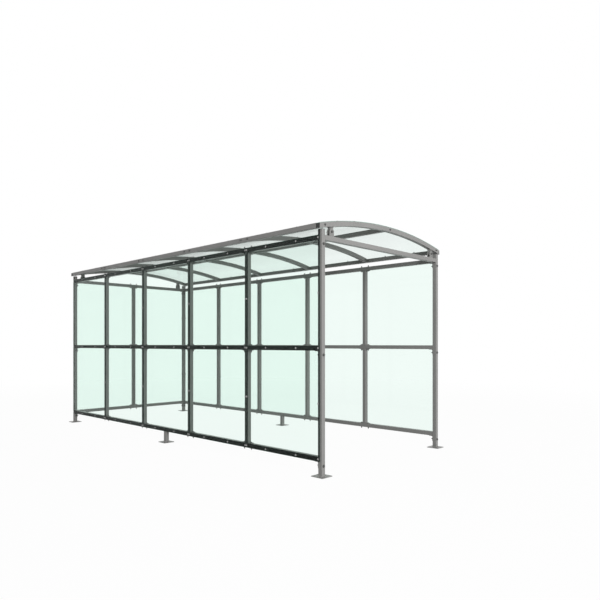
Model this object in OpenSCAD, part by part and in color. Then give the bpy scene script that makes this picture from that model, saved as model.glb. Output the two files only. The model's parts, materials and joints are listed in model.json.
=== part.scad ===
// Shopping cart shelter: an open-fronted, bolted frame of square steel tube with clear walls
// hung on its outside and a shallow arched roof carried on four pinned brackets.
// Millimetres, +Z up, the origin on the ground at the middle of the plan.
// The open end, where the carts go in, faces -Y.

/* [Plan] */
// Pitch of the bays along the two long walls, centre to centre
side_pitch = 1000; // [700:10:1400]
// Number of bays in each long wall
side_bays = 5; // [3:1:7]
// Pitch of the bays in the rear wall, centre to centre
rear_pitch = 1000; // [700:10:1400]
// Number of bays in the rear wall
rear_bays = 2; // [1:1:3]

/* [Heights] */
// Height of the bottom rail's centreline above the ground
bottom_rail_z = 157; // [120:1:300]
// Height of one row of wall sheets, rail centreline to rail centreline
row_pitch = 1000; // [700:10:1300]
// How far the corner posts stand above the top rails
post_top_rise = 50; // [40:1:90]

/* [Tube] */
// Outside width of every square tube
tube_w = 45; // [35:1:60]
// Wall thickness of every tube
tube_wall = 2; // [1.5:0.5:4]
// Outside corner radius of every tube
tube_corner_r = 3; // [1:0.5:5]

/* [Feet] */
// Side of the square base plates
plate_w = 140; // [110:5:200]
// Thickness of the base plates
plate_t = 6; // [4:1:12]
// Diameter of the anchor holes
anchor_d = 12; // [8:1:16]
// Spacing of the anchor holes, both ways
anchor_pitch = 100; // [85:1:120]

/* [Corner cleats] */
// Length of a cleat's leg along the rail
cleat_rail_leg = 44; // [36:1:60]
// Length of a cleat's leg down a corner post
cleat_post_leg = 60; // [45:1:80]
// Length of a cleat's leg along a mullion
cleat_mullion_leg = 16; // [14:1:60]
// Width of a cleat across the tube
cleat_w = 39; // [28:1:39]
// Thickness of a cleat's legs
cleat_t = 5; // [3:0.5:8]
// Radius inside a cleat's corner
cleat_root_r = 8; // [4:1:12]

/* [Walls] */
// Thickness of the black sealing strips between frame and wall sheets
seal_t = 2; // [1:0.5:4]
// Thickness of the clear wall sheets
sheet_t = 5; // [3:0.5:8]
// Gap between neighbouring wall or roof sheets
sheet_gap = 4; // [2:1:10]

/* [Roof] */
// Rise of an arch's top above the chord of its whole span
arch_rise = 118; // [80:1:220]
// Gap between a post's top and the arch's underside above it
arch_gap = 15; // [10:1:40]
// Distance of the edge beams' centrelines outside the posts' centrelines
edge_offset = 30.5; // [24:0.5:60]
// Thickness of the clear roof sheets
roof_sheet_t = 4; // [3:0.5:8]
// Leg length of the angle cleats that join edge beams and ridge purlin to the arches
roof_cleat_leg = 50; // [40:1:60]
// Height of those angle cleats
roof_cleat_h = 28; // [20:1:32]
// Distance of those cleats' upper edge below the top of the edge beams
roof_cleat_drop = 4; // [0:1:8]
// Thickness of the plastic caps on tube ends
cap_t = 3; // [2:0.5:6]

/* [Roof brackets] */
// Distance from a corner post's centreline to a bracket's centre
bracket_inset = 122; // [100:1:200]
// Width of a bracket's foot along the beam
bracket_w = 70; // [60:1:80]
// Depth of a bracket across the beam
bracket_d = 36; // [28:1:38]
// Thickness of a bracket's foot, ears and head
bracket_t = 6; // [4:0.5:7]
// Width of the two ears that stand on the foot
ear_w = 62; // [48:1:66]
// Width of the lug between the ears, and of the head under the arch
lug_w = 46; // [36:1:48]
// Side clearance of the lug between the ears
lug_gap = 0.4; // [0.2:0.1:0.8]

/* [Hidden] */

$fn = 48;
ARC_FN = 1440;   // the roof's arc is long and shallow, so its circle is cut finely

steel = "#a9aba8";
steel_dark = "#8f918e";
black = "#2b2c2c";
clear = [0.86, 0.96, 0.92, 0.35];

half_tube = tube_w / 2;
width = rear_pitch * rear_bays;          // post centre to post centre, across
length = side_pitch * side_bays;         // post centre to post centre, along
post_x = width / 2;
post_y = length / 2;

mid_rail_z = bottom_rail_z + row_pitch;
top_rail_z = bottom_rail_z + 2 * row_pitch;
rail_zs = [bottom_rail_z, mid_rail_z, top_rail_z];
beam_top = top_rail_z + half_tube;
post_top = beam_top + post_top_rise;

// The arches follow one circle about a line parallel to Y.
edge_x = post_x + edge_offset;                     // edge beam's centreline
span_half = edge_x + half_tube;                    // outer faces of the edge beams
arc_r = (pow(span_half, 2) + pow(arch_rise, 2)) / (2 * arch_rise);
arc_inner_r = arc_r - tube_w;
arc_z = post_top + arch_gap - sqrt(pow(arc_inner_r, 2) - pow(post_x, 2));
crown_z = arc_z + arc_r;
edge_top = arc_z + sqrt(pow(arc_r, 2) - pow(edge_x, 2));
edge_z = edge_top - half_tube;
purlin_z = arc_z + sqrt(pow(arc_r, 2) - pow(half_tube, 2)) - half_tube;

side_mullion_ys = [for (i = [1 : 1 : side_bays - 1]) i * side_pitch - post_y];
rear_mullion_xs = [for (i = [1 : 1 : rear_bays - 1]) i * rear_pitch - post_x];
arch_ys = [for (i = [0 : 1 : side_bays]) i * side_pitch - post_y];

side_rail_len = length - tube_w;                   // between the faces of the corner posts
cross_rail_len = width - tube_w;

bracket_x = post_x - bracket_inset;
lug_t = bracket_d - 2 * (bracket_t + lug_gap);
head_top = arc_z + sqrt(pow(arc_inner_r, 2) - pow(bracket_x + lug_w / 2, 2));   // at its low side
pin_z = (beam_top + head_top) / 2;                 // height of the bracket's bolt

// ---------------------------------------------------------------- shared shapes

module rounded_square(w, r) {
    square([w - 2 * r, w], center = true);
    square([w, w - 2 * r], center = true);
    for (sx = [-1, 1], sy = [-1, 1])
        translate([sx * (w / 2 - r), sy * (w / 2 - r)]) circle(r);
}

// A square tube standing on the XY plane.
module tube_z(len) {
    linear_extrude(len)
        difference() {
            rounded_square(tube_w, tube_corner_r);
            square(tube_w - 2 * tube_wall, center = true);
        }
}

// A square tube centred on the origin, along X or along Y.
module tube_x(len) { rotate([0, 90, 0]) translate([0, 0, -len / 2]) tube_z(len); }
module tube_y(len) { rotate([90, 0, 0]) translate([0, 0, -len / 2]) tube_z(len); }

// A box given by its two corners.
module block(low, high) { translate(low) cube(high - low); }

// A copy on each side of the plane x = 0.
module both_sides() {
    children();
    mirror([1, 0, 0]) children();
}

// A copy at each end of the shelter.
module both_ends() {
    children();
    mirror([0, 1, 0]) children();
}

// Part of a shell about the arch's axis, between two radii, over a range of x and y.
module arc_band(r_in, r_out, x_from, x_to, y_from, y_to) {
    intersection() {
        translate([0, y_to, arc_z])
            rotate([90, 0, 0])
                difference() {
                    cylinder(r = r_out, h = y_to - y_from, $fn = ARC_FN);
                    translate([0, 0, -1]) cylinder(r = r_in, h = y_to - y_from + 2, $fn = ARC_FN);
                }
        block([x_from, y_from - 1, 0], [x_to, y_to + 1, crown_z + tube_w]);
    }
}

// A bent square tube over the whole width, its centreline at y.
module arch_tube(y, x_end) {
    difference() {
        arc_band(arc_inner_r, arc_r, -x_end, x_end, y - half_tube, y + half_tube);
        arc_band(arc_inner_r + tube_wall, arc_r - tube_wall, -x_end - 1, x_end + 1,
                 y - half_tube + tube_wall, y + half_tube - tube_wall);
    }
}

// An angle cleat with a rounded root. Its corner is at the origin, one leg lies under a rail
// along +Y at z = 0 and the other runs down an upright's face at y = 0.
module cleat(upright_leg) {
    root = cleat_t + cleat_root_r;
    rotate([90, 0, 90])
        translate([0, 0, -cleat_w / 2])
            linear_extrude(cleat_w)
                difference() {
                    union() {
                        translate([0, -cleat_t]) square([cleat_rail_leg, cleat_t]);
                        translate([0, -upright_leg]) square([cleat_t, upright_leg]);
                        translate([0, -root]) square(root);
                    }
                    translate([root, -root]) circle(cleat_root_r);
                }
}

// The two cleats on either side of a mullion, below a rail that runs along Y.
module cleat_pair() {
    both_ends() translate([0, half_tube, 0]) cleat(cleat_mullion_leg);
}

// Cleats under a rail at rail_z, or over it when turned upside down.
module under_rail(rail_z) { translate([0, 0, rail_z - half_tube]) children(); }
module over_rail(rail_z) { translate([0, 0, rail_z + half_tube]) mirror([0, 0, 1]) children(); }

// The cleats of a wall that runs along Y: one below each rail at both corner posts, and pairs
// at both ends of every mullion.
module wall_cleats(half_len, mullions) {
    for (z = rail_zs)
        both_ends()
            under_rail(z) translate([0, half_tube - half_len, 0]) cleat(cleat_post_leg);
    for (y = mullions) {
        over_rail(bottom_rail_z) translate([0, y, 0]) cleat_pair();
        under_rail(mid_rail_z) translate([0, y, 0]) cleat_pair();
        over_rail(mid_rail_z) translate([0, y, 0]) cleat_pair();
        under_rail(top_rail_z) translate([0, y, 0]) cleat_pair();
    }
}

// The sealing strips of a wall that runs along Y, on the plane x = 0, thick towards -X.
module wall_seals(half_len, mullions) {
    inner = half_len - half_tube;
    for (z = rail_zs)
        block([-seal_t, -half_len, z - half_tube], [0, half_len, z + half_tube]);
    for (y = mullions)
        block([-seal_t, y - half_tube, bottom_rail_z], [0, y + half_tube, top_rail_z]);
    both_ends()
        block([-seal_t, inner, bottom_rail_z - half_tube], [0, half_len, post_top]);
}

// One row of wall sheets along Y, on the strips' outer face, thick towards -X.
module wall_sheets(bays, pitch, z_from, z_to) {
    half_len = bays * pitch / 2;
    for (i = [0 : 1 : bays - 1]) {
        y_from = i * pitch - half_len + (i == 0 ? 0 : sheet_gap / 2);
        y_to = (i + 1) * pitch - half_len - (i == bays - 1 ? 0 : sheet_gap / 2);
        block([-seal_t - sheet_t, y_from, z_from], [-seal_t, y_to, z_to]);
    }
}

module lower_sheets(bays, pitch) {
    wall_sheets(bays, pitch, bottom_rail_z - half_tube, mid_rail_z - sheet_gap / 2);
}

module upper_sheets(bays, pitch) {
    wall_sheets(bays, pitch, mid_rail_z + sheet_gap / 2, top_rail_z + half_tube);
}

// Place a wall that is drawn along Y with its outer side towards -X: either with x = 0 at the
// frame's centre plane, or with x = 0 at the frame's outer face.
module on_left_wall() { translate([-post_x, 0, 0]) children(); }
module on_right_wall() { mirror([1, 0, 0]) on_left_wall() children(); }
module on_rear_wall() { translate([0, post_y, 0]) rotate([0, 0, -90]) children(); }
module on_left_face() { on_left_wall() translate([-half_tube, 0, 0]) children(); }
module on_right_face() { mirror([1, 0, 0]) on_left_face() children(); }
module on_rear_face() { on_rear_wall() translate([-half_tube, 0, 0]) children(); }

// ---------------------------------------------------------------- feet and posts

module foot_plate() {
    difference() {
        linear_extrude(plate_t) rounded_square(plate_w, plate_t);
        for (sx = [-1, 1], sy = [-1, 1])
            translate([sx * anchor_pitch / 2, sy * anchor_pitch / 2, -1])
                cylinder(d = anchor_d, h = plate_t + 2);
    }
}

module foot_plates() {
    color(steel)
        both_sides() {
            for (y = [-post_y, 0, post_y]) translate([post_x, y, 0]) foot_plate();
        }
}

module mid_legs() {
    color(steel)
        both_sides()
            translate([post_x, 0, plate_t]) tube_z(bottom_rail_z - half_tube - plate_t);
}

module post(sx, sy) {
    color(steel)
        translate([sx * post_x, sy * post_y, plate_t]) tube_z(post_top - plate_t);
}

module post_front_left() { post(-1, -1); }
module post_front_right() { post(1, -1); }
module post_rear_left() { post(-1, 1); }
module post_rear_right() { post(1, 1); }

module post_caps() {
    color(black)
        both_sides() both_ends()
            translate([post_x, post_y, post_top])
                linear_extrude(cap_t) rounded_square(tube_w, tube_corner_r);
}

// ---------------------------------------------------------------- rails and mullions

module side_rail(sx, z) { color(steel) translate([sx * post_x, 0, z]) tube_y(side_rail_len); }
module cross_rail(sy, z) { color(steel) translate([0, sy * post_y, z]) tube_x(cross_rail_len); }

module left_bottom_rail() { side_rail(-1, bottom_rail_z); }
module left_mid_rail() { side_rail(-1, mid_rail_z); }
module left_top_rail() { side_rail(-1, top_rail_z); }
module right_bottom_rail() { side_rail(1, bottom_rail_z); }
module right_mid_rail() { side_rail(1, mid_rail_z); }
module right_top_rail() { side_rail(1, top_rail_z); }
module rear_bottom_rail() { cross_rail(1, bottom_rail_z); }
module rear_mid_rail() { cross_rail(1, mid_rail_z); }
module rear_top_rail() { cross_rail(1, top_rail_z); }
module front_tie_beam() { cross_rail(-1, top_rail_z); }

// Two lengths of tube, one below and one above the mid rail.
module mullion() {
    for (z = [bottom_rail_z, mid_rail_z])
        translate([0, 0, z + half_tube]) tube_z(row_pitch - tube_w);
}

module left_mullions() {
    color(steel) for (y = side_mullion_ys) translate([-post_x, y, 0]) mullion();
}

module right_mullions() {
    color(steel) for (y = side_mullion_ys) translate([post_x, y, 0]) mullion();
}

module rear_mullions() {
    color(steel) for (x = rear_mullion_xs) translate([x, post_y, 0]) mullion();
}

module left_cleats() { color(steel_dark) on_left_wall() wall_cleats(post_y, side_mullion_ys); }
module right_cleats() { color(steel_dark) on_right_wall() wall_cleats(post_y, side_mullion_ys); }
module rear_cleats() { color(steel_dark) on_rear_wall() wall_cleats(post_x, rear_mullion_xs); }

// ---------------------------------------------------------------- walls

module left_seals() { color(black) on_left_face() wall_seals(post_y, side_mullion_ys); }
module right_seals() { color(black) on_right_face() wall_seals(post_y, side_mullion_ys); }
module rear_seals() { color(black) on_rear_face() wall_seals(post_x, rear_mullion_xs); }

module left_lower_sheets() { color(clear) on_left_face() lower_sheets(side_bays, side_pitch); }
module left_upper_sheets() { color(clear) on_left_face() upper_sheets(side_bays, side_pitch); }
module right_lower_sheets() { color(clear) on_right_face() lower_sheets(side_bays, side_pitch); }
module right_upper_sheets() { color(clear) on_right_face() upper_sheets(side_bays, side_pitch); }
module rear_lower_sheets() { color(clear) on_rear_face() lower_sheets(rear_bays, rear_pitch); }
module rear_upper_sheets() { color(clear) on_rear_face() upper_sheets(rear_bays, rear_pitch); }

// ---------------------------------------------------------------- roof

module at_brackets() {
    both_ends() both_sides() translate([bracket_x, post_y, 0]) children();
}

// An upright plate across Y whose end at the bolt is round, from the bolt's height to height z.
module pinned_plate(w, t, z) {
    block([-w / 2, -t / 2, min(pin_z, z)], [w / 2, t / 2, max(pin_z, z)]);
    translate([0, t / 2, pin_z]) rotate([90, 0, 0]) cylinder(d = w, h = t);
}

// The clevis on a beam: a foot and two ears with round tops.
module roof_bracket_clevises() {
    color(steel_dark)
        at_brackets() {
            block([-bracket_w / 2, -bracket_d / 2, beam_top],
                  [bracket_w / 2, bracket_d / 2, beam_top + bracket_t]);
            for (s = [-1, 1])
                translate([0, s * (bracket_d - bracket_t) / 2, 0])
                    pinned_plate(ear_w, bracket_t, beam_top);
        }
}

// The lug that hangs between the ears, with a head cut to the arch's underside.
module roof_bracket_lugs() {
    color(steel_dark)
        at_brackets()
            intersection() {
                union() {
                    block([-lug_w / 2, -bracket_d / 2, head_top - bracket_t],
                          [lug_w / 2, bracket_d / 2, crown_z]);
                    pinned_plate(lug_w, lug_t, crown_z);
                }
                translate([-bracket_x, tube_w / 2, arc_z])
                    rotate([90, 0, 0]) cylinder(r = arc_inner_r, h = tube_w, $fn = ARC_FN);
            }
}

module end_arch(sy) { color(steel) arch_tube(sy * post_y, span_half - cap_t); }
module front_arch() { end_arch(-1); }
module rear_arch() { end_arch(1); }

// The arches between the end ones are cut off at the edge beams' inner faces.
module inner_arches() {
    color(steel)
        for (i = [1 : 1 : side_bays - 1]) arch_tube(arch_ys[i], edge_x - half_tube);
}

module arch_end_caps() {
    color(black)
        both_sides()
            for (y = [-post_y, post_y])
                arc_band(arc_inner_r, arc_r, span_half - cap_t, span_half, y - half_tube, y + half_tube);
}

module edge_beam(sx) { color(steel) translate([sx * edge_x, 0, edge_z]) tube_y(side_rail_len); }
module edge_beam_left() { edge_beam(-1); }
module edge_beam_right() { edge_beam(1); }

module ridge_purlin() {
    color(steel)
        for (i = [0 : 1 : side_bays - 1])
            translate([0, arch_ys[i] + side_pitch / 2, purlin_z]) tube_y(side_pitch - tube_w);
}

// An angle cleat in plan: its corner at the origin, legs along -X and +Y, centred on z = 0.
module roof_cleat() {
    block([-roof_cleat_leg, 0, -roof_cleat_h / 2], [0, cleat_t, roof_cleat_h / 2]);
    block([-cleat_t, 0, -roof_cleat_h / 2], [0, roof_cleat_leg, roof_cleat_h / 2]);
}

// The cleats at both sides of every arch, at one longitudinal member's face.
module roof_cleat_row() {
    for (i = [0 : 1 : side_bays - 1]) {
        translate([0, arch_ys[i] + half_tube, 0]) roof_cleat();
        translate([0, arch_ys[i + 1] - half_tube, 0]) mirror([0, 1, 0]) roof_cleat();
    }
}

module roof_cleats() {
    color(steel_dark) {
        both_sides()
            translate([edge_x - half_tube, 0, edge_top - roof_cleat_drop - roof_cleat_h / 2])
                roof_cleat_row();
        translate([half_tube, 0, purlin_z]) mirror([1, 0, 0]) roof_cleat_row();
    }
}

module roof_sheets() {
    color(clear)
        for (i = [0 : 1 : side_bays - 1]) {
            y_from = arch_ys[i] + (i == 0 ? -half_tube : sheet_gap / 2);
            y_to = arch_ys[i + 1] + (i == side_bays - 1 ? half_tube : -sheet_gap / 2);
            arc_band(arc_r, arc_r + roof_sheet_t, -edge_x, edge_x, y_from, y_to);
        }
}

// ---------------------------------------------------------------- the shelter

foot_plates();
mid_legs();
post_front_left();
post_front_right();
post_rear_left();
post_rear_right();
left_bottom_rail();
left_mid_rail();
left_top_rail();
right_bottom_rail();
right_mid_rail();
right_top_rail();
rear_bottom_rail();
rear_mid_rail();
rear_top_rail();
front_tie_beam();
left_mullions();
right_mullions();
rear_mullions();
left_cleats();
right_cleats();
rear_cleats();
left_seals();
right_seals();
rear_seals();
left_lower_sheets();
left_upper_sheets();
right_lower_sheets();
right_upper_sheets();
rear_lower_sheets();
rear_upper_sheets();
roof_bracket_clevises();
roof_bracket_lugs();
front_arch();
rear_arch();
inner_arches();
edge_beam_left();
edge_beam_right();
ridge_purlin();
roof_cleats();
roof_sheets();
post_caps();
arch_end_caps();
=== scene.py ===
import json
import math
import random

import bmesh
import bpy
from mathutils import Matrix, Vector


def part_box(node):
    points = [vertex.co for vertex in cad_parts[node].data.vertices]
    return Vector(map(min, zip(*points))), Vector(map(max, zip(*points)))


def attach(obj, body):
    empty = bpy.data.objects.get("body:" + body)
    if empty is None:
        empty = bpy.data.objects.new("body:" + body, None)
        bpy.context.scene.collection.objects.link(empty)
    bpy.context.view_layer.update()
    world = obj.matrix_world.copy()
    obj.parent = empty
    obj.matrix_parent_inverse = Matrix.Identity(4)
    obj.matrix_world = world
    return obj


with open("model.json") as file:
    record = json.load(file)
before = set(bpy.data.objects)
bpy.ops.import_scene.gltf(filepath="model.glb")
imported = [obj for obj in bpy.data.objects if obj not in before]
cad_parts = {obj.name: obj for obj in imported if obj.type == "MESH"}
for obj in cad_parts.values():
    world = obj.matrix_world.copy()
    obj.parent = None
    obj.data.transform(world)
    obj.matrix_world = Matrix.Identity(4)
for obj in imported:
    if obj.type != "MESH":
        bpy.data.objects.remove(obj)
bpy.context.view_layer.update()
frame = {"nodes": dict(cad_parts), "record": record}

bl_info = {
    "name": "Cart Shelter Finish",
    "version": (1, 0, 0),
    "blender": (4, 5, 0),
    "location": "3D View > Sidebar > Cart Shelter",
    "description": "Finishes, fasteners and stage for a clear-walled cart shelter",
    "category": "Object",
}

BODY = "root"
X, Y, Z = Vector((1, 0, 0)), Vector((0, 1, 0)), Vector((0, 0, 1))


# ------------------------------------------------------------------ places read from the frame

def centre(node):
    low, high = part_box(node)
    return (low + high) / 2


def corner_points(node, above):
    """The node's vertices in the front right corner that lie higher than a given height."""
    points = [v.co for v in frame["nodes"][node].data.vertices]
    return [p for p in points if p.x > 0 and p.y < 0 and p.z > above]


class Layout:
    """The shelter's sizes and centrelines, in metres."""

    def __init__(self):
        low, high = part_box("post_front_right")
        self.tube = high.x - low.x
        self.half = self.tube / 2
        self.post_x = (low.x + high.x) / 2
        self.post_y = -(low.y + high.y) / 2
        self.plate_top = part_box("foot_plates")[1].z
        self.rail_zs = [centre(f"left_{row}_rail").z for row in ("bottom", "mid", "top")]
        self.sheet_face = -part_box("left_lower_sheets")[0].x - self.post_x
        self.side_bays = self.bays(self.post_y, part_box("left_mullions")[1].y)
        self.rear_bays = self.bays(self.post_x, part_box("rear_mullions")[1].x)
        self.arch_ys = self.stations(self.post_y, self.side_bays)
        self.read_roof()
        self.read_brackets()

    def bays(self, half_length, mullions_end):
        """Number of bays in a wall, from the outer face of its last mullion."""
        pitch = half_length - (mullions_end - self.half)
        return round(2 * half_length / pitch)

    def stations(self, half_length, bays):
        """Centrelines of posts and mullions along a wall, from one corner post to the other."""
        return [half_length * (2 * i / bays - 1) for i in range(bays + 1)]

    def read_roof(self):
        """The arc over the arches, the edge beams' place, and the heights of purlin and cleats."""
        self.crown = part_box("front_arch")[1].z
        sheet_low, sheet_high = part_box("roof_sheets")
        self.roof_sheet_t = sheet_high.z - self.crown
        self.edge_x = centre("edge_beam_right").x
        rise = self.crown - sheet_low.z
        self.arc_r = (self.edge_x ** 2 + rise ** 2) / (2 * rise)
        self.purlin_z = centre("ridge_purlin").z
        cleat_low, cleat_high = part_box("roof_cleats")
        half_cleat_h = cleat_high.z - self.purlin_z
        self.edge_cleat_z = cleat_low.z + half_cleat_h

    def read_brackets(self):
        """Where the pins of the roof brackets run."""
        beam_top = self.rail_zs[2] + self.half
        clevis = corner_points("roof_bracket_clevises", beam_top)
        lug = corner_points("roof_bracket_lugs", beam_top)
        self.bracket_x = (min(p.x for p in clevis) + max(p.x for p in clevis)) / 2
        self.bracket_half_d = max(abs(p.y + self.post_y) for p in clevis)
        lug_half_w = (max(p.x for p in lug) - min(p.x for p in lug)) / 2
        self.pin_z = min(p.z for p in lug) + lug_half_w

    def arc_z(self, x, lift=0.0):
        """Height of the arches' top face at x, or of a face that lies lift above it."""
        r = self.arc_r + lift
        return self.crown - self.arc_r + math.sqrt(r * r - x * x)

    def arc_normal(self, x):
        return Vector((x, 0, math.sqrt(self.arc_r ** 2 - x * x))) / self.arc_r


L = Layout()


class Wall:
    """One wall: s runs along it, z is height and out is the distance outside its centre plane."""

    def __init__(self, name, origin, along, outward, half_length, bays):
        self.name = name
        self.origin = origin
        self.along = along
        self.outward = outward
        self.half_length = half_length
        self.stations = L.stations(half_length, bays)
        self.mullions = self.stations[1:-1]

    def at(self, s, z, out=0.0):
        return self.origin + self.along * s + self.outward * out + Z * z


WALLS = [
    Wall("left", -X * L.post_x, Y, -X, L.post_y, L.side_bays),
    Wall("right", X * L.post_x, Y, X, L.post_y, L.side_bays),
    Wall("rear", Y * L.post_y, X, Y, L.post_x, L.rear_bays),
]


# ------------------------------------------------------------------ mesh building

ROUND_SIDES = 24         # sides of turned heads and washers
SCREW_WASHER_SIDES = 28
THREAD_SIDES = 12
BROKEN_EDGE = 0.25       # how far a washer's edge is broken, as a share of its thickness
TURNED_FLAT = 0.95       # flat top of a bolt head against its width
TURNED_SLOPE = 0.58      # fall of its turned corners against their reach
THREAD_ROOT = 0.88       # radius at a thread's root against its crest
THREAD_POINT = 0.75      # radius at the bolt's end against its crest
DOME_RINGS = 6
DOME_START = 12          # degrees above the washer where the dome's first ring lies
DOME_STEP = 13           # degrees from ring to ring
DOME_FOOT = 0.97         # radius at the dome's foot against the head's
SOCKET_RIM = 0.45        # radius of the flat round the socket against the head's
SOCKET_TOP = 0.97        # height of the socket's mouth against the head's
SOCKET_FLOOR = 0.35      # height of the socket's floor against the head's
SMOOTH_BELOW = math.radians(35)


class Template:
    """Vertices and faces of one small part, standing on the XY plane along +Z."""

    def __init__(self):
        self.verts = []
        self.faces = []

    def add_rings(self, rings, segments):
        """Skins a closed body over rings of (height, radius). Each may be a number or a
        function of the angle."""
        start = len(self.verts)
        for height, radius in rings:
            for k in range(segments):
                a = 2 * math.pi * k / segments
                r = radius(a) if callable(radius) else radius
                z = height(a) if callable(height) else height
                self.verts.append(Vector((r * math.cos(a), r * math.sin(a), z)))
        for i in range(len(rings) - 1):
            for k in range(segments):
                a = start + i * segments + k
                b = start + i * segments + (k + 1) % segments
                self.faces.append((a, b, b + segments, a + segments))
        last = start + (len(rings) - 1) * segments
        self.faces.append(tuple(range(start + segments - 1, start - 1, -1)))
        self.faces.append(tuple(range(last, last + segments)))
        return self


def hexagon(across_flats):
    """Radius of a hexagon at an angle."""
    sixth = math.pi / 3
    return lambda a: across_flats / 2 / math.cos(a % sixth - sixth / 2)


def washer(template, z, diameter, thick, segments):
    """A washer that lies at height z, its edges broken."""
    r, edge = diameter / 2, thick * BROKEN_EDGE
    rings = [(z, r - edge), (z + edge, r), (z + thick - edge, r), (z + thick, r - edge)]
    return template.add_rings(rings, segments)


def hex_body(template, z, across_flats, height, segments):
    """A hexagon with its top corners turned off, as on bolt heads and nuts."""
    side = hexagon(across_flats)
    flat = across_flats / 2 * TURNED_FLAT

    def turned(angle):
        return z + height - (side(angle) - flat) * TURNED_SLOPE

    return template.add_rings([(z, side), (turned, side), (z + height, flat)], segments)


def hex_bolt_head(p):
    """A washer and a hexagon head."""
    template = washer(Template(), 0.0, p.washer_d, p.washer_t, ROUND_SIDES)
    return hex_body(template, p.washer_t, p.across_flats, p.head_h, ROUND_SIDES)


def nut_on_stud(p):
    """A washer, a nut and the bolt's threaded end."""
    template = washer(Template(), 0.0, p.washer_d, p.washer_t, ROUND_SIDES)
    hex_body(template, p.washer_t, p.across_flats, p.nut_h, ROUND_SIDES)
    r, z = p.thread_d / 2, p.washer_t + p.nut_h
    rings = []
    for i in range(p.thread_turns):
        step = z + i * p.thread_pitch
        rings += [(step, r * THREAD_ROOT), (step + p.thread_pitch / 2, r)]
    rings.append((rings[-1][0] + p.thread_pitch, r * THREAD_POINT))
    return template.add_rings(rings, THREAD_SIDES)


def dome_screw(p):
    """A washer and a domed screw head with a six-sided socket in it."""
    template = washer(Template(), 0.0, p.screw_washer_d, p.screw_washer_t, SCREW_WASHER_SIDES)
    r, h, z = p.screw_head_d / 2, p.screw_head_h, p.screw_washer_t
    rings = [(z, r * DOME_FOOT)]
    for i in range(DOME_RINGS):
        t = math.radians(DOME_START + DOME_STEP * i)
        rings.append((z + h * math.sin(t), r * math.cos(t)))
    socket = hexagon(p.screw_socket)
    rings.append((z + h, r * SOCKET_RIM))
    rings += [(z + h * share, socket) for share in (SOCKET_TOP, SOCKET_FLOOR)]
    return template.add_rings(rings, ROUND_SIDES)


def facing(direction, spin=0.0):
    """Rotation that turns a template's +Z to a direction, after a spin about itself."""
    turn = Vector(direction).to_track_quat("Z", "Y").to_matrix().to_4x4()
    return turn @ Matrix.Rotation(spin, 4, "Z")


def put(place, direction, spin=0.0):
    """Matrix that sets a template down at a place, its +Z along a direction."""
    return Matrix.Translation(place) @ facing(direction, spin)


def mesh_piece(name, verts, faces, material):
    """Makes one piece that rides on the body, smooth except across its sharp edges."""
    mesh = bpy.data.meshes.new(name)
    mesh.from_pydata([tuple(v) for v in verts], [], faces)
    bm = bmesh.new()
    bm.from_mesh(mesh)
    bmesh.ops.recalc_face_normals(bm, faces=bm.faces)
    for face in bm.faces:
        face.smooth = True
    for edge in bm.edges:
        edge.smooth = len(edge.link_faces) == 2 and edge.calc_face_angle() < SMOOTH_BELOW
    bm.to_mesh(mesh)
    bm.free()
    mesh.materials.append(material)
    piece = bpy.data.objects.new(name, mesh)
    bpy.context.scene.collection.objects.link(piece)
    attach(piece, BODY)
    return piece


def joined_copies(name, copies, material):
    """One piece from many copies, given as (template, matrix)."""
    if not copies:
        raise RuntimeError(f"{name} has nothing to place")
    verts, faces = [], []
    for template, matrix in copies:
        start = len(verts)
        verts += [matrix @ v for v in template.verts]
        faces += [tuple(i + start for i in face) for face in template.faces]
    return mesh_piece(name, verts, faces, material)


# ------------------------------------------------------------------ materials

MIX_SOCKETS = (0, 6, 7)  # factor and the two colours among a colour mix node's inputs
MIX_RESULT = 2           # the colour among its outputs


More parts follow.
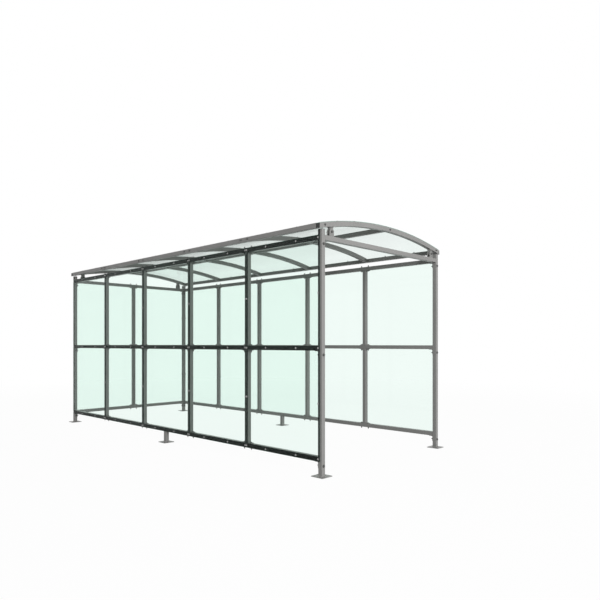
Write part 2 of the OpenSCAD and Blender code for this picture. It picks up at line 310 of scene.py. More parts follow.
class Nodes:
    """A small builder for the node tree of a material or a world."""

    def __init__(self, owner):
        self.owner = owner
        owner.use_nodes = True
        self.tree = owner.node_tree
        self.tree.nodes.clear()

    @classmethod
    def of_material(cls, name):
        n = cls(bpy.data.materials.get(name) or bpy.data.materials.new(name))
        n.place = n.make("ShaderNodeTexCoord").outputs["Object"]
        return n

    def plug(self, socket, value):
        """Links a socket to another one, or gives it a constant."""
        if isinstance(value, bpy.types.NodeSocket):
            self.tree.links.new(value, socket)
        else:
            socket.default_value = value

    def make(self, kind, **inputs):
        node = self.tree.nodes.new(kind)
        for key, value in inputs.items():
            self.set(node, key.replace("_", " "), value)
        return node

    def set(self, node, key, value):
        self.plug(node.inputs[key], value)

    def noise(self, scale, detail=3.0, rough=0.5, stretch=(1, 1, 1)):
        mapping = self.make("ShaderNodeMapping", Vector=self.place, Scale=stretch)
        node = self.make("ShaderNodeTexNoise", Vector=mapping.outputs[0], Scale=scale,
                         Detail=detail, Roughness=rough)
        return node.outputs[0]

    def math(self, operation, *values, clamp=False):
        node = self.tree.nodes.new("ShaderNodeMath")
        node.operation = operation
        node.use_clamp = clamp
        for socket, value in zip(node.inputs, values):
            self.plug(socket, value)
        return node.outputs[0]

    def span(self, value, low, high, from_low=0.3, from_high=0.7):
        """Maps a value's range to another, without going past its ends."""
        node = self.make("ShaderNodeMapRange", Value=value)
        for key, number in zip(("From Min", "From Max", "To Min", "To Max"),
                               (from_low, from_high, low, high)):
            self.set(node, key, number)
        return node.outputs[0]

    def blend(self, factor, a, b):
        """A colour between a and b."""
        node = self.tree.nodes.new("ShaderNodeMix")
        node.data_type = "RGBA"
        for index, value in zip(MIX_SOCKETS, (factor, a, b)):
            self.plug(node.inputs[index], value)
        return node.outputs[MIX_RESULT]

    def bump(self, height, distance, strength=1.0):
        node = self.make("ShaderNodeBump", Height=height, Distance=distance, Strength=strength)
        return node.outputs[0]

    def split(self, vector):
        return self.make("ShaderNodeSeparateXYZ", Vector=vector).outputs

    def mix(self, factor, a, b):
        """A surface between a and b."""
        node = self.tree.nodes.new("ShaderNodeMixShader")
        for socket, value in zip(node.inputs, (factor, a, b)):
            self.plug(socket, value)
        return node.outputs[0]

    def finish(self, surface, kind="ShaderNodeOutputMaterial"):
        self.make(kind, Surface=surface)
        return self.owner


def shade(colour, factor):
    """A colour made lighter or darker."""
    return tuple(c * factor for c in colour[:3]) + (1.0,)


DUST_COLOUR = (0.42, 0.415, 0.40, 1.0)
DUST_LEAST, DUST_MOST = 0.02, 0.22
UPWARDS = 0.6                # upward part of the normal from which dust lies
SPLASH_COLOUR = (0.17, 0.165, 0.155, 1.0)
SPLASH_TOP = 0.35            # height that splashes reach
SPLASH_MOST = 0.3
SPECK_MOST = 0.22
COAT_DEPTH = 0.00012         # depth of the coat's orange peel
COAT_MIRROR = 0.4


def coated_steel(name, colour, roughness, grain):
    """Powder-coated steel: slow drift in tone, orange-peel skin, a little dust on what faces up
    and splash marks near the ground."""
    n = Nodes.of_material(name)
    drift = n.span(n.noise(scale=1.7, detail=4.0, rough=0.6), 0.0, 1.0)
    tone = n.blend(drift, shade(colour, 0.93), shade(colour, 1.06))
    speck = n.span(n.noise(scale=260.0, detail=2.0, rough=0.6), 0.0, 1.0, 0.58, 0.72)
    tone = n.blend(n.math("MULTIPLY", speck, SPECK_MOST), tone, shade(colour, 1.35))
    geometry = n.make("ShaderNodeNewGeometry")
    up = n.span(n.split(geometry.outputs["Normal"])[2], 0.0, 1.0, UPWARDS, 1.0)
    patches = n.span(n.noise(scale=22.0, detail=5.0, rough=0.65), DUST_LEAST, DUST_MOST)
    tone = n.blend(n.math("MULTIPLY", up, patches), tone, DUST_COLOUR)
    low = n.span(n.split(n.place)[2], 1.0, 0.0, 0.0, SPLASH_TOP)
    drops = n.span(n.noise(scale=38.0, detail=6.0, rough=0.7), 0.0, SPLASH_MOST, 0.45, 0.75)
    tone = n.blend(n.math("MULTIPLY", low, drops), tone, SPLASH_COLOUR)
    skin = n.bump(n.noise(scale=grain, detail=2.0), COAT_DEPTH, strength=0.5)
    worn = n.span(n.noise(scale=9.0, detail=4.0, rough=0.6), roughness - 0.06, roughness + 0.08)
    body = n.make("ShaderNodeBsdfPrincipled", Base_Color=tone, Roughness=worn, Normal=skin)
    n.set(body, "Specular IOR Level", COAT_MIRROR)
    return n.finish(body.outputs[0])


RUBBER_ROUGHNESS = (0.55, 0.75)
RUBBER_MIRROR = 0.28
PLASTIC_ROUGHNESS = 0.5
GRAIN_DEPTH = 0.0002         # depth of the grain in rubber and plastic


def sealing_rubber(name, colour):
    """Extruded black rubber with a fine grain and a dull bloom."""
    n = Nodes.of_material(name)
    bloom = n.span(n.noise(scale=14.0, detail=5.0, rough=0.65), 0.0, 1.0)
    tone = n.blend(bloom, shade(colour, 0.75), shade(colour, 1.9))
    skin = n.bump(n.noise(scale=700.0, rough=0.6), GRAIN_DEPTH, strength=0.6)
    worn = n.span(bloom, *RUBBER_ROUGHNESS, 0.0, 1.0)
    body = n.make("ShaderNodeBsdfPrincipled", Base_Color=tone, Roughness=worn, Normal=skin)
    n.set(body, "Specular IOR Level", RUBBER_MIRROR)
    return n.finish(body.outputs[0])


def moulded_plastic(name, colour):
    """Black moulded plastic with a fine spark-eroded grain."""
    n = Nodes.of_material(name)
    tone = n.blend(n.span(n.noise(scale=60.0), 0.0, 1.0), shade(colour, 0.8), shade(colour, 1.5))
    skin = n.bump(n.noise(scale=1100.0, detail=2.0, rough=0.6), GRAIN_DEPTH, strength=0.7)
    body = n.make("ShaderNodeBsdfPrincipled", Base_Color=tone, Roughness=PLASTIC_ROUGHNESS,
                  Normal=skin)
    return n.finish(body.outputs[0])


def plated_metal(name, colour, metallic, roughness):
    """Zinc-plated or blackened fasteners, with a streaky turned finish."""
    n = Nodes.of_material(name)
    streak = n.span(n.noise(scale=420.0, rough=0.6, stretch=(1, 1, 0.2)), 0.0, 1.0)
    tone = n.blend(streak, shade(colour, 0.8), shade(colour, 1.2))
    worn = n.span(n.noise(scale=150.0), roughness - 0.08, roughness + 0.1)
    body = n.make("ShaderNodeBsdfPrincipled", Base_Color=tone, Roughness=worn)
    n.set(body, "Metallic", metallic)
    return n.finish(body.outputs[0])


WIPES = (0.6, 1.4)           # least and most of the wipe marks against the sheet's veil
GRIT_MOST = 0.5
EDGE_FILM = 0.12             # how much a sawn edge is frosted
FILM_ROUGHNESS = 0.6
MIRROR_ROUGHNESS = (0.02, 0.06)
FACE_ON_MIRROR = 0.006


def clear_sheet(name, broad_axis, tint, veil, mirror_colour, grazing_mirror, steepness):
    """Clear plastic sheet: a tint on each face, a deeper one at its sawn edges, a faint veil of
    wipe marks and dust, and a mirror that grows towards grazing angles. It takes more from the
    light on what lies behind it than from the view of it."""
    n = Nodes.of_material(name)
    c = colours()
    geometry = n.make("ShaderNodeNewGeometry")
    across = n.math("ABSOLUTE", n.split(geometry.outputs["Normal"])[broad_axis])
    broad = n.span(across, 0.0, 1.0, 0.4, 0.6)
    through = n.make("ShaderNodeBsdfTransparent", Color=n.blend(broad, c.edge_tint, tint))
    wipes = n.span(n.noise(scale=2.6, detail=6.0, rough=0.6, stretch=(1, 1, 2.5)), *WIPES)
    grit = n.span(n.noise(scale=210.0, rough=0.7), 0.0, GRIT_MOST, 0.62, 0.8)
    haze = n.math("ADD", n.math("MULTIPLY", wipes, veil), n.math("MULTIPLY", grit, veil))
    side = n.span(broad, EDGE_FILM, 0.0, 0.0, 1.0)
    film = n.make("ShaderNodeBsdfPrincipled", Base_Color=c.veil, Roughness=FILM_ROUGHNESS)
    filmed = n.mix(n.math("ADD", haze, side, clamp=True), through.outputs[0], film.outputs[0])
    mirror = n.make("ShaderNodeBsdfGlossy", Color=mirror_colour,
                    Roughness=n.span(wipes, *MIRROR_ROUGHNESS, *WIPES))
    grazing = n.make("ShaderNodeLayerWeight", Blend=0.5).outputs["Facing"]
    rise = n.math("POWER", grazing, steepness)
    gloss = n.math("MULTIPLY_ADD", rise, grazing_mirror, FACE_ON_MIRROR)
    look = n.mix(gloss, filmed, mirror.outputs[0])
    path = n.make("ShaderNodeLightPath").outputs
    shaded = n.make("ShaderNodeBsdfTransparent", Color=c.sheet_shade)
    for ray in ("Is Diffuse Ray", "Is Shadow Ray"):
        look = n.mix(path[ray], look, shaded.outputs[0])
    return n.finish(look)


# ------------------------------------------------------------------ properties

def colour_property(label, text, value):
    return bpy.props.FloatVectorProperty(name=label, description=text, subtype="COLOR", size=4,
                                         min=0.0, max=1.0, default=value)


def length_property(label, text, value):
    return bpy.props.FloatProperty(name=label, description=text, unit="LENGTH", min=0.0,
                                   precision=4, default=value)


class ShelterColours(bpy.types.PropertyGroup):
    """Colours of the shelter's surfaces."""

    frame: colour_property("Frame", "Powder coat on the tubes and base plates",
                           (0.310, 0.307, 0.298, 1.0))
    cleats: colour_property("Cleats", "Powder coat on cleats and roof brackets",
                            (0.28, 0.28, 0.27, 1.0))
    rubber: colour_property("Seals", "Black sealing strips", (0.010, 0.012, 0.011, 1.0))
    caps: colour_property("Caps", "Plastic caps in tube ends", (0.014, 0.015, 0.014, 1.0))
    wall_tint: colour_property("Wall tint", "What one face of a wall sheet lets through",
                               (0.942, 0.989, 0.968, 1.0))
    roof_tint: colour_property("Roof tint", "What one face of a roof sheet lets through",
                               (0.950, 0.980, 0.968, 1.0))
    wall_mirror: colour_property("Wall mirror", "Mirror image in the wall sheets",
                                 (1.0, 1.0, 1.0, 1.0))
    roof_mirror: colour_property("Roof mirror", "Mirror image in the roof sheets",
                                 (0.40, 0.51, 0.465, 1.0))
    sheet_shade: colour_property("Sheet shade", "What one face of a sheet lets through as light",
                                 (0.62, 0.66, 0.64, 1.0))
    edge_tint: colour_property("Sheet edge", "Sawn edge of a clear sheet",
                               (0.30, 0.50, 0.42, 1.0))
    veil: colour_property("Veil", "Dust and wipe marks on the sheets", (0.80, 0.90, 0.85, 1.0))
    zinc: colour_property("Zinc", "Sheet screws and their washers", (0.40, 0.40, 0.395, 1.0))
    dark_steel: colour_property("Dark steel", "Bolts and nuts of frame, roof and brackets",
                                (0.135, 0.135, 0.132, 1.0))


class ShelterFasteners(bpy.types.PropertyGroup):
    """Sizes and places of the bolts and screws."""

    across_flats: length_property("Across flats", "Width of bolt heads and nuts", 0.016)
    head_h: length_property("Head height", "Height of a bolt head", 0.0064)
    nut_h: length_property("Nut height", "Height of a nut", 0.008)
    washer_d: length_property("Washer", "Diameter of a bolt's washer", 0.020)
    washer_t: length_property("Washer thickness", "Thickness of a bolt's washer", 0.0018)
    thread_d: length_property("Thread", "Diameter of the bolts", 0.010)
    thread_pitch: length_property("Thread pitch", "Pitch of the bolts' thread", 0.0015)
    thread_turns: bpy.props.IntProperty(
        name="Thread turns", description="Turns of thread that stand out of a nut",
        default=7, min=1, max=12)
    screw_washer_d: length_property("Screw washer", "Diameter of a sheet screw's washer", 0.018)
    screw_washer_t: length_property("Screw washer thickness", "Thickness of that washer", 0.0015)
    screw_head_d: length_property("Screw head", "Diameter of a sheet screw's head", 0.0125)
    screw_head_h: length_property("Screw head height", "Height of a sheet screw's head", 0.0038)
    screw_socket: length_property("Screw socket", "Width of the socket in a screw head", 0.005)
    rail_bolt: length_property("Rail bolt", "From an upright's face to the bolt in the rail", 0.030)
    post_bolt: length_property("Post bolt", "From a rail's face to the bolt in a post", 0.038)
    post_head: bpy.props.FloatProperty(
        name="Post head scale", description="Size of the front posts' bolt heads against the rest",
        default=1.3, min=0.5, max=2.0)
    joint_screw: length_property("Joint screw", "From a sheet joint to the screws beside it", 0.012)
    bay_screw: length_property("Bay screw", "From a bay's middle to the screws beside it", 0.205)
    end_screw: length_property("End screw", "From a corner post's middle to the end screw", 0.018)
    roof_bolt: length_property("Roof bolt", "From a roof joint's corner to its bolts", 0.0285)
    edge_bolt_drop: length_property("Edge bolt drop", "Edge beam bolts below the cleats' middle",
                                    0.004)
    arch_bolt_lift: length_property("Arch bolt lift", "Arch end bolts above the cleats' middle",
                                    0.006)
    pin_scale: bpy.props.FloatProperty(
        name="Pin scale", description="Size of the brackets' pin bolts against the frame's bolts",
        default=1.2, min=0.5, max=2.0)
    roof_screw_step: length_property("Roof screw step", "Spacing of screws along an arch", 0.26)
    weld: length_property("Weld", "Leg of the weld round a tube's foot", 0.005)


class ShelterStage(bpy.types.PropertyGroup):
    """Camera, lamps and floor."""

    camera_place: bpy.props.FloatVectorProperty(
        name="Camera", description="Place of the camera", subtype="TRANSLATION",
        unit="LENGTH", default=(-4.7956, -5.7919, 1.1937))
    camera_heading: bpy.props.FloatProperty(
        name="Heading", description="Camera's turn from +Y towards +X", subtype="ANGLE",
        default=math.radians(45.083))
    camera_lens: bpy.props.FloatProperty(
        name="Lens", description="Focal length in millimetres", default=33.35)
    camera_shift: bpy.props.FloatVectorProperty(
        name="Shift", description="Lens shift, as a share of the frame", size=2,
        default=(0.0284, 0.0735))
    lamp_place: bpy.props.FloatVectorProperty(
        name="Key lamp", description="Place of the key lamp", subtype="TRANSLATION",
        unit="LENGTH", default=(-5.2, -13.2, 4.4))
    lamp_size: length_property("Lamp size", "Diameter of the key lamp", 6.0)
    lamp_power: bpy.props.FloatProperty(
        name="Lamp power", description="Power of the key lamp", unit="POWER", default=1180.0)
    back_place: bpy.props.FloatVectorProperty(
        name="Back lamp", description="Place that the back lamp shines from",
        subtype="TRANSLATION", unit="LENGTH", default=(6.0, 8.0, 2.6))
    back_strength: bpy.props.FloatProperty(
        name="Back lamp strength", description="Strength of the lamp behind the shelter",
        default=1.3)
    sky_strength: bpy.props.FloatProperty(
        name="Fill", description="Strength of the even fill light", default=0.31)
    floor_colour: colour_property("Floor", "Floor as it is seen", (0.86, 0.86, 0.86, 1.0))
    bounce_colour: colour_property("Bounce", "Floor as it lights the shelter",
                                   (0.30, 0.30, 0.30, 1.0))


def colours():
    return bpy.context.scene.shelter_colours


def fasteners():
    return bpy.context.scene.shelter_fasteners


# ------------------------------------------------------------------ finishes of the frame's nodes

EDGE_ROUNDING = 0.0008       # on cleats and caps
ROUNDED_ABOVE = math.radians(50)


def dress(nodes, material, bevel=0.0):
    """Gives CAD nodes a material, and rounds their sharp edges a little."""
    for name in nodes:
        node = frame["nodes"][name]
        node.data.materials.clear()
        node.data.materials.append(material)
        if bevel:
            rounding = node.modifiers.new("edge rounding", "BEVEL")
            rounding.width = bevel
            rounding.segments = 2
            rounding.limit_method = "ANGLE"
            rounding.angle_limit = ROUNDED_ABOVE
            rounding.harden_normals = True


def nodes_in_slot(slot):
    return [s["node"] for s in frame["record"]["subparts"] if s["material_slot"] == slot]


class SHELTER_OT_coat_frame(bpy.types.Operator):
    """Powder-coat the square tubes and the base plates"""

    bl_idname = "shelter.coat_frame"
    bl_label = "Coat frame"

    def execute(self, context):
        material = coated_steel("frame_coat", colours().frame, roughness=0.36, grain=900.0)
        dress(nodes_in_slot("frame_steel"), material)
        return {"FINISHED"}


class SHELTER_OT_coat_cleats(bpy.types.Operator):
    """Coat the corner cleats, roof cleats and roof brackets, and round their edges"""

    bl_idname = "shelter.coat_cleats"
    bl_label = "Coat cleats"

    def execute(self, context):
        material = coated_steel("cleat_coat", colours().cleats, roughness=0.5, grain=600.0)
        dress(nodes_in_slot("cleat_steel"), material, bevel=EDGE_ROUNDING)
        return {"FINISHED"}


class SHELTER_OT_fit_seals(bpy.types.Operator):
    """Give the sealing strips their rubber and the tube ends their plastic caps"""

    bl_idname = "shelter.fit_seals"
    bl_label = "Fit seals and caps"

    def execute(self, context):
        dress(nodes_in_slot("seal_rubber"), sealing_rubber("seal_rubber", colours().rubber))
        caps = moulded_plastic("cap_plastic", colours().caps)
        dress(nodes_in_slot("cap_plastic"), caps, bevel=EDGE_ROUNDING)
        return {"FINISHED"}


class SHELTER_OT_glaze(bpy.types.Operator):
    """Make the wall and roof sheets clear"""

    bl_idname = "shelter.glaze"
    bl_label = "Glaze"

    def execute(self, context):
        c = colours()
        for axis, walls in ((0, ("left", "right")), (1, ("rear",))):
            clear = clear_sheet(f"wall_sheet_{'xy'[axis]}", axis, c.wall_tint, veil=0.006,
                                mirror_colour=c.wall_mirror, grazing_mirror=0.5, steepness=5.0)
            dress([f"{wall}_{row}_sheets" for wall in walls for row in ("lower", "upper")], clear)
        roof = clear_sheet("roof_sheet", 2, c.roof_tint, veil=0.02,
                           mirror_colour=c.roof_mirror, grazing_mirror=0.8, steepness=12.0)
        dress(["roof_sheets"], roof)
        return {"FINISHED"}


# ------------------------------------------------------------------ fasteners

def spins(seed):
    """An endless run of turns for bolt heads, the same each time."""
    draw = random.Random(seed)
    while True:
        yield draw.uniform(0.0, math.pi / 3)


def zinc():
    return plated_metal("zinc_plate", colours().zinc, metallic=1.0, roughness=0.42)


def dark_steel():
    return plated_metal("dark_steel", colours().dark_steel, metallic=0.4, roughness=0.45)


class SHELTER_OT_screw_walls(bpy.types.Operator):
    """Screw the wall sheets to rails, mullions and corner posts"""

    bl_idname = "shelter.screw_walls"
    bl_label = "Screw wall sheets"

    SEED = 11

    def spots(self, wall, p):
        """(s, z) of every screw in a wall."""
        end = wall.half_length - p.end_screw
        beside_joints = [m + side * p.joint_screw for m in wall.mullions for side in (-1, 1)]
        uprights = [-end, *beside_joints, end]
        middles = [(a + b) / 2 for a, b in zip(wall.stations, wall.stations[1:])]
        beside = [m + side * p.bay_screw for m in middles for side in (-1, 1)]
        rows = [(s, z) for z in L.rail_zs for s in uprights + beside]
        halfway = [(a + b) / 2 for a, b in zip(L.rail_zs, L.rail_zs[1:])]
        return rows + [(s, z) for z in halfway for s in uprights]

    def execute(self, context):
        p = fasteners()
        screw, material, spin = dome_screw(p), zinc(), spins(self.SEED)
        for wall in WALLS:
            copies = [(screw, put(wall.at(s, z, L.sheet_face), wall.outward, next(spin)))
                      for s, z in self.spots(wall, p)]
            joined_copies(f"{wall.name}_sheet_screws", copies, material)
        return {"FINISHED"}


class SHELTER_OT_bolt_walls(bpy.types.Operator):
    """Bolt the corner cleats to the rails and the corner posts"""

    bl_idname = "shelter.bolt_walls"
    bl_label = "Bolt wall cleats"

    SEED = 23

    def through(self, start, end, direction):
        """A head at start and a nut at end of a bolt that runs along direction."""
        self.copies.append((self.head, put(start, -direction, next(self.spin))))
        self.copies.append((self.nut, put(end, direction, next(self.spin))))

    def rail_bolt(self, wall, s, z, above, below):
        """A bolt through a rail and the cleats above or below it. Its nut lies below, except
        where the only cleat is below the rail."""
        top = z + L.half + (self.cleat_t if above else 0.0)
        bottom = z - L.half - (self.cleat_t if below else 0.0)
        if above:
            self.through(wall.at(s, top), wall.at(s, bottom), -Z)
        else:
            self.through(wall.at(s, bottom), wall.at(s, top), Z)

    def mullion_joints(self, wall, p):
        """The bolts through the rails on both sides of every mullion."""
        reach = L.half + p.rail_bolt
        bottom, top = L.rail_zs[0], L.rail_zs[-1]
        for s in wall.mullions:
            for z in L.rail_zs:
                for way in (-1, 1):
                    self.rail_bolt(wall, s + way * reach, z, above=z < top, below=z > bottom)

    def post_joints(self, wall, p):
        """A nut inside every corner post below each rail, and a head outside the front posts."""
        for way in (-1, 1):
            post = way * wall.half_length
            inward = -way * wall.along
            for z in L.rail_zs:
                height = z - L.half - p.post_bolt
                inner = wall.at(post - way * (L.half + self.cleat_t), height)
                self.copies.append((self.nut, put(inner, inward, next(self.spin))))
                if wall.along == Y and way < 0:
                    outer = wall.at(post + way * L.half, height)
                    head = put(outer, -inward, next(self.spin)) @ Matrix.Scale(p.post_head, 4)
                    self.copies.append((self.head, head))

    def execute(self, context):
        p = fasteners()
        self.head, self.nut, self.spin = hex_bolt_head(p), nut_on_stud(p), spins(self.SEED)
        self.cleat_t = cleat_thickness()
        material = dark_steel()
        for wall in WALLS:
            self.copies = []
            self.mullion_joints(wall, p)
            self.post_joints(wall, p)
            joined_copies(f"{wall.name}_frame_bolts", self.copies, material)
        return {"FINISHED"}


HAIR = 0.001                 # what counts as a face of its own below the rail


def cleat_thickness():
    """Thickness of a cleat's leg, from the first face below the right wall's top rail."""
    under = L.rail_zs[2] - L.half
    heights = [v.co.z for v in frame["nodes"]["right_cleats"].data.vertices]
    return under - max(z for z in heights if z < under - HAIR)


class SHELTER_OT_bolt_roof(bpy.types.Operator):
    """Bolt the roof's edge beams and ridge purlin to the arches"""

    bl_idname = "shelter.bolt_roof"
    bl_label = "Bolt roof"

    SEED = 37

    def execute(self, context):
        p = fasteners()
        head, nut, spin = hex_bolt_head(p), nut_on_stud(p), spins(self.SEED)
        copies = []

        def add(template, x, y, z, direction):
            copies.append((template, put(Vector((x, y, z)), direction, next(spin))))

        cleat_t = cleat_thickness()
        edge_inner = L.edge_x - L.half
        joints = [(side * edge_inner, -side, L.edge_cleat_z) for side in (-1, 1)]
        joints.append((L.half, 1, L.purlin_z))
        last = len(L.arch_ys) - 1
        for i, y in enumerate(L.arch_ys):
            for x, way, z in joints:
                arch_x = x + way * p.roof_bolt
                arch_z = z if z == L.purlin_z else z + p.arch_bolt_lift
                front = 0.0 if i == 0 else cleat_t
                back = 0.0 if i == last else cleat_t
                add(head, arch_x, y - L.half - front, arch_z, -Y)
                add(nut, arch_x, y + L.half + back, arch_z, Y)
                for end in (-1, 1):
                    if (i, end) in ((0, -1), (last, 1)):
                        continue
                    beam_y = y + end * (L.half + p.roof_bolt)
                    beam_z = z if z == L.purlin_z else z - p.edge_bolt_drop
                    if i in (0, last):
                        add(head, x + way * cleat_t, beam_y, beam_z, way * X)
                    else:
                        add(head, x - way * L.tube, beam_y, beam_z, -way * X)
                        add(nut, x + way * cleat_t, beam_y, beam_z, way * X)
        joined_copies("roof_frame_bolts", copies, dark_steel())
        return {"FINISHED"}


class SHELTER_OT_pin_brackets(bpy.types.Operator):
    """Fit the pin bolts of the four roof brackets"""

    bl_idname = "shelter.pin_brackets"
    bl_label = "Pin roof brackets"

    SEED = 41

    def execute(self, context):
        p = fasteners()
        head, nut, spin = hex_bolt_head(p), nut_on_stud(p), spins(self.SEED)
        copies = []
        size = Matrix.Scale(p.pin_scale, 4)
        for x in (-L.bracket_x, L.bracket_x):
            for out in (-Y, Y):
                pin = Vector((x, out.y * L.post_y, L.pin_z))
                face = out * L.bracket_half_d
                copies.append((head, put(pin + face, out, next(spin)) @ size))
                copies.append((nut, put(pin - face, -out, next(spin)) @ size))
        joined_copies("bracket_pins", copies, dark_steel())
        return {"FINISHED"}


class SHELTER_OT_screw_roof(bpy.types.Operator):
    """Screw the roof sheets to the arches and edge beams"""

    bl_idname = "shelter.screw_roof"
    bl_label = "Screw roof sheets"

    SEED = 53
    EDGE_MARGIN = 0.6        # from the edge beam's centreline inwards, in washer widths

    def execute(self, context):
        p = fasteners()
        screw, spin = dome_screw(p), spins(self.SEED)
        steps = int((L.edge_x - p.roof_screw_step / 2) / p.roof_screw_step)
        arch_xs = [side * p.roof_screw_step * k for k in range(1, steps + 1) for side in (-1, 1)]
        edge = L.edge_x - p.screw_washer_d * self.EDGE_MARGIN
        spots = [(x, y) for y in L.arch_ys for x in arch_xs]
        for a, b in zip(L.arch_ys, L.arch_ys[1:]):
            for shift in (-p.bay_screw, p.bay_screw):
                spots += [(side * edge, (a + b) / 2 + shift) for side in (-1, 1)]
        copies = []
        for x, y in spots:
            place = Vector((x, y, L.arc_z(x, L.roof_sheet_t)))
            copies.append((screw, put(place, L.arc_normal(x), next(spin))))
        joined_copies("roof_sheet_screws", copies, zinc())
        return {"FINISHED"}


class SHELTER_OT_weld_feet(bpy.types.Operator):
    """Lay the weld beads round the feet of the posts and middle legs"""

    bl_idname = "shelter.weld_feet"
    bl_label = "Weld feet"

    SEED = 67
    RINGS = 160              # cross-sections round a tube
    ARC = 5                  # steps across the bead
    CORNER = 0.003           # radius of the tube's corners
    RIPPLE = 0.10            # height of the ripples against the bead's leg
    RIPPLE_TURN = 1.7        # radians of ripple from one cross-section to the next
    UNEVEN = 0.05
    SUNK = 0.0003            # how far the bead's root lies inside the tube's face

    def outline(self, k):
        """A point on the tube's rounded outline and the outward normal there."""
        turn = 2 * math.pi * k / self.RINGS
        quarter = math.floor(turn / (math.pi / 2) + 0.5)
        local = turn - quarter * math.pi / 2
        flat = L.half - self.CORNER
        along = math.tan(local) * L.half
        spill = abs(along) - flat
        if spill <= 0:
            point, normal = Vector((L.half, along, 0)), Vector((1, 0, 0))
        else:
            bend = min(spill / self.CORNER, 1.0) * math.pi / 4
            way = math.copysign(1.0, along)
            normal = Vector((math.cos(bend), way * math.sin(bend), 0))
            point = Vector((flat, way * flat, 0)) + normal * self.CORNER
        spin = Matrix.Rotation(quarter * math.pi / 2, 3, "Z")
        return spin @ point, spin @ normal

    def bead(self, leg, draw):
        """One bead, as a closed ring round a tube."""
        template = Template()
        for k in range(self.RINGS):
            point, normal = self.outline(k)
            ripple = self.RIPPLE * math.sin(k * self.RIPPLE_TURN)
            size = leg * (1 + ripple + draw.uniform(-self.UNEVEN, self.UNEVEN))
            template.verts.append(point - normal * self.SUNK)
            for i in range(self.ARC + 1):
                a = math.pi / 2 * i / self.ARC
                template.verts.append(point + normal * size * math.sin(a) + Z * size * math.cos(a))
        row = self.ARC + 2
        for k in range(self.RINGS):
            here, there = k * row, (k + 1) % self.RINGS * row
            for i in range(row):
                j = (i + 1) % row
                template.faces.append((here + i, there + i, there + j, here + j))
        return template

    def execute(self, context):
        draw = random.Random(self.SEED)
        leg = fasteners().weld
        copies = []
        for x in (-L.post_x, L.post_x):
            for y in (-L.post_y, 0.0, L.post_y):
                place = Vector((x, y, L.plate_top))
                copies.append((self.bead(leg, draw), Matrix.Translation(place)))
        material = coated_steel("weld_coat", colours().frame, roughness=0.45, grain=500.0)
        joined_copies("foot_welds", copies, material)
        return {"FINISHED"}


# ------------------------------------------------------------------ stage

def seen_by_eye(n):
    """1 for rays that show the background: camera, mirror and see-through rays."""
    path = n.make("ShaderNodeLightPath").outputs
    seen = n.math("MAXIMUM", path["Is Camera Ray"], path["Is Glossy Ray"])
    return n.math("MAXIMUM", seen, path["Is Transmission Ray"])


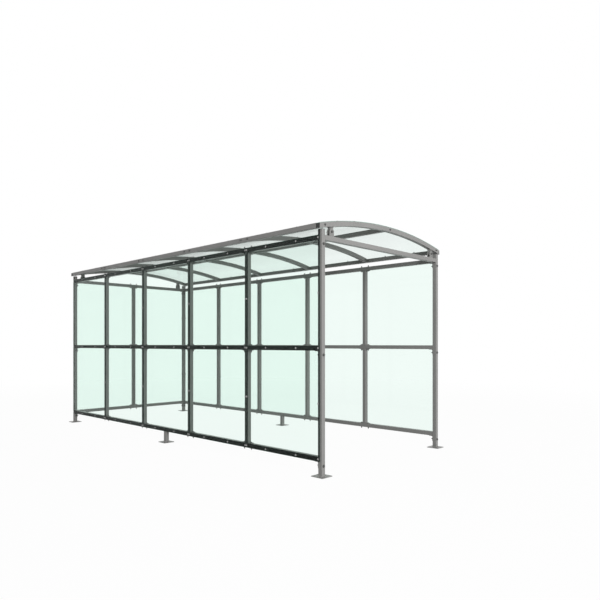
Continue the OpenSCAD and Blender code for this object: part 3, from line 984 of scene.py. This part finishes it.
class SHELTER_OT_set_stage(bpy.types.Operator):
    """Set the camera, the floor, the fill light and the two lamps"""

    bl_idname = "shelter.set_stage"
    bl_label = "Set stage"

    FLOOR_R = 60.0
    FADE = (5.5, 12.0)       # distances between which the floor turns to the background's white
    GLOW = 0.97              # how much of that white it has before
    AIM = Z                  # the lamps shine at the shelter's middle, 1 m up
    BACK_ANGLE = math.radians(30)

    def floor(self, stage):
        n = Nodes.of_material("pale_floor")
        seen = seen_by_eye(n)
        distance = n.tree.nodes.new("ShaderNodeVectorMath")
        distance.operation = "LENGTH"
        n.tree.links.new(n.place, distance.inputs[0])
        far = n.span(distance.outputs["Value"], self.GLOW, 1.0, *self.FADE)
        tone = n.blend(seen, stage.bounce_colour, stage.floor_colour)
        matt = n.make("ShaderNodeBsdfDiffuse", Color=tone)
        glow = n.make("ShaderNodeEmission", Color=(1.0, 1.0, 1.0, 1.0))
        material = n.finish(n.mix(n.math("MULTIPLY", far, seen), matt.outputs[0], glow.outputs[0]))
        bm = bmesh.new()
        bmesh.ops.create_circle(bm, cap_ends=True, segments=64, radius=self.FLOOR_R)
        mesh = bpy.data.meshes.new("floor")
        bm.to_mesh(mesh)
        bm.free()
        mesh.materials.append(material)
        floor = bpy.data.objects.new("floor", mesh)
        bpy.context.scene.collection.objects.link(floor)

    def sky(self, stage):
        """White where it is seen, and a weaker even light on the shelter."""
        world = bpy.data.worlds.new("studio")
        bpy.context.scene.world = world
        n = Nodes(world)
        strength = n.span(seen_by_eye(n), stage.sky_strength, 1.0, 0.0, 1.0)
        light = n.make("ShaderNodeBackground", Color=(1.0, 1.0, 1.0, 1.0), Strength=strength)
        n.finish(light.outputs[0], "ShaderNodeOutputWorld")

    def lamp(self, name, kind, power, place):
        """A lamp that shines from its place towards the shelter's middle and leaves no glare."""
        lamp = bpy.data.objects.new(name, bpy.data.lights.new(name, kind))
        lamp.data.energy = power
        lamp.location = place
        lamp.rotation_mode = "QUATERNION"
        lamp.rotation_quaternion = (lamp.location - self.AIM).to_track_quat("Z", "Y")
        lamp.visible_camera = False
        lamp.visible_glossy = False
        bpy.context.scene.collection.objects.link(lamp)
        return lamp.data

    def lamps(self, stage):
        key = self.lamp("key_lamp", "AREA", stage.lamp_power, stage.lamp_place)
        key.shape = "DISK"
        key.size = stage.lamp_size
        back = self.lamp("back_lamp", "SUN", stage.back_strength, stage.back_place)
        back.angle = self.BACK_ANGLE

    def camera(self, stage):
        data = bpy.data.cameras.new("camera")
        data.lens = stage.camera_lens
        data.shift_x, data.shift_y = stage.camera_shift
        camera = bpy.data.objects.new("camera", data)
        camera.location = stage.camera_place
        camera.rotation_euler = (math.pi / 2, 0.0, -stage.camera_heading)
        bpy.context.scene.collection.objects.link(camera)
        bpy.context.scene.camera = camera

    def execute(self, context):
        stage = context.scene.shelter_stage
        context.scene.view_settings.view_transform = "Standard"
        self.camera(stage)
        self.floor(stage)
        self.sky(stage)
        self.lamps(stage)
        return {"FINISHED"}


# ------------------------------------------------------------------ panel and registration

PIECES = (
    SHELTER_OT_coat_frame,
    SHELTER_OT_coat_cleats,
    SHELTER_OT_fit_seals,
    SHELTER_OT_glaze,
    SHELTER_OT_screw_walls,
    SHELTER_OT_bolt_walls,
    SHELTER_OT_bolt_roof,
    SHELTER_OT_pin_brackets,
    SHELTER_OT_screw_roof,
    SHELTER_OT_weld_feet,
    SHELTER_OT_set_stage,
)


class SHELTER_PT_panel(bpy.types.Panel):
    """Lists the shelter's steps and settings"""

    bl_label = "Cart Shelter"
    bl_space_type = "VIEW_3D"
    bl_region_type = "UI"
    bl_category = "Cart Shelter"

    def draw(self, context):
        layout = self.layout
        for group in ("shelter_colours", "shelter_fasteners", "shelter_stage"):
            box = layout.box()
            settings = getattr(context.scene, group)
            for key in settings.bl_rna.properties.keys():
                if key not in ("rna_type", "name"):
                    box.prop(settings, key)
        for operator in PIECES:
            layout.operator(operator.bl_idname)


CLASSES = (ShelterColours, ShelterFasteners, ShelterStage, *PIECES, SHELTER_PT_panel)


def register():
    for cls in CLASSES:
        bpy.utils.register_class(cls)
    scene = bpy.types.Scene
    scene.shelter_colours = bpy.props.PointerProperty(type=ShelterColours)
    scene.shelter_fasteners = bpy.props.PointerProperty(type=ShelterFasteners)
    scene.shelter_stage = bpy.props.PointerProperty(type=ShelterStage)


def unregister():
    for name in ("shelter_colours", "shelter_fasteners", "shelter_stage"):
        delattr(bpy.types.Scene, name)
    for cls in reversed(CLASSES):
        bpy.utils.unregister_class(cls)


def main():
    register()
    for operator in PIECES:
        group, name = operator.bl_idname.split(".")
        getattr(getattr(bpy.ops, group), name)()


if __name__ == "__main__":
    main()
